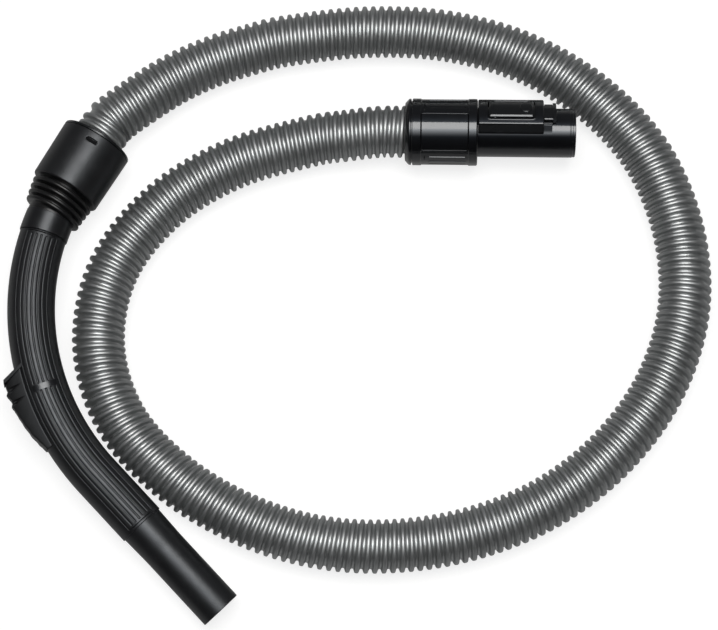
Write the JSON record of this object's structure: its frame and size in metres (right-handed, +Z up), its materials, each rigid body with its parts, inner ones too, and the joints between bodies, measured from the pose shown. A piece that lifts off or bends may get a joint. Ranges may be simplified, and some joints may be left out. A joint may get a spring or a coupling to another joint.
{
  "type": "vacuum cleaner hose",
  "caption": "Ribbed suction hose with a curved grooved grip, bellows and swivelling collar, and a latching swivel connector for the cleaner.",
  "frame": {"origin": "on the surface the hose lies on, under the middle of the box of the handle and the connector", "axes": "+Z up from the surface, +X towards the connector's free end, +Y towards the hose ends and away from the wand spigot"},
  "size_m": [0.5331, 0.4783, 0.059],
  "materials": {
    "hose_grey": "metallic silver-grey, ribbed",
    "hidden_plastic": "plain moulded",
    "nylon_grey": "machined nylon",
    "satin_black": "satin moulded",
    "inlay_black": "satin, grooved",
    "slider_black": "satin moulded",
    "rubber_black": "semi-gloss rubber",
    "gloss_black": "glossy moulded",
    "panel_black": "glossy moulded",
    "button_black": "glossy moulded",
    "spring_steel": "plain wire"
  },
  "bodies": {
    "line": {"hose": "hose_grey", "hose_cuff": "hidden_plastic", "machine_hose_cuff": "hidden_plastic", "cuff_cap": "gloss_black", "machine_cuff": "gloss_black", "cuff_panel_top": "panel_black", "cuff_panel_bottom": "panel_black", "machine_ring": "nylon_grey"},
    "collar": {"collar": "satin_black", "swivel_ring": "nylon_grey", "swivel_seal": "rubber_black", "bellows": "rubber_black"},
    "handle": {"neck_sleeve": "satin_black", "handle_tube": "satin_black", "grip_inlay_top": "inlay_black", "grip_inlay_bottom": "inlay_black"},
    "regulator": {"slider": "slider_black", "slider_clip": "hidden_plastic"},
    "connector": {"machine_tube": "gloss_black", "machine_seal": "rubber_black", "latch_housing": "gloss_black", "latch_pin": "spring_steel", "latch_spring": "spring_steel"},
    "latch": {"latch_button": "button_black", "latch_hook": "button_black"}
  },
  "joints": [
    {"name": "handle_swivel", "type": "hinge", "parent": "line", "child": "collar", "pos_m": [-0.1515, 0.1664, 0.02789], "axis": [-0.4921, -0.8662, 0.0872], "continuous": true},
    {"name": "handle_flex", "type": "hinge", "parent": "collar", "child": "handle", "pos_m": [-0.1799, 0.11546, 0.03293], "axis": [0.8564, -0.4996, -0.13], "range_deg": [-12, 12], "stiffness_Nm_per_rad": 1, "deforming": ["bellows"]},
    {"name": "regulator_slide", "type": "hinge", "parent": "handle", "child": "regulator", "pos_m": [-0.01057, 0.03827, 0.00699], "axis": [0.1562, 0.0107, 0.9877], "range_deg": [0, 4]},
    {"name": "machine_swivel", "type": "hinge", "parent": "line", "child": "connector", "pos_m": [0.0848, 0.175, 0.02533], "axis": [0.9988, -0.0227, 0.0436], "continuous": true},
    {"name": "latch_press", "type": "hinge", "parent": "connector", "child": "latch", "pos_m": [0.15304, 0.1843, 0.04711], "axis": [0.0415, 0.8653, -0.4995], "range_deg": [0, 1.5], "stiffness_Nm_per_rad": 0.5, "springref_deg": -1.72, "deforming": ["latch_spring"]}
  ]
}
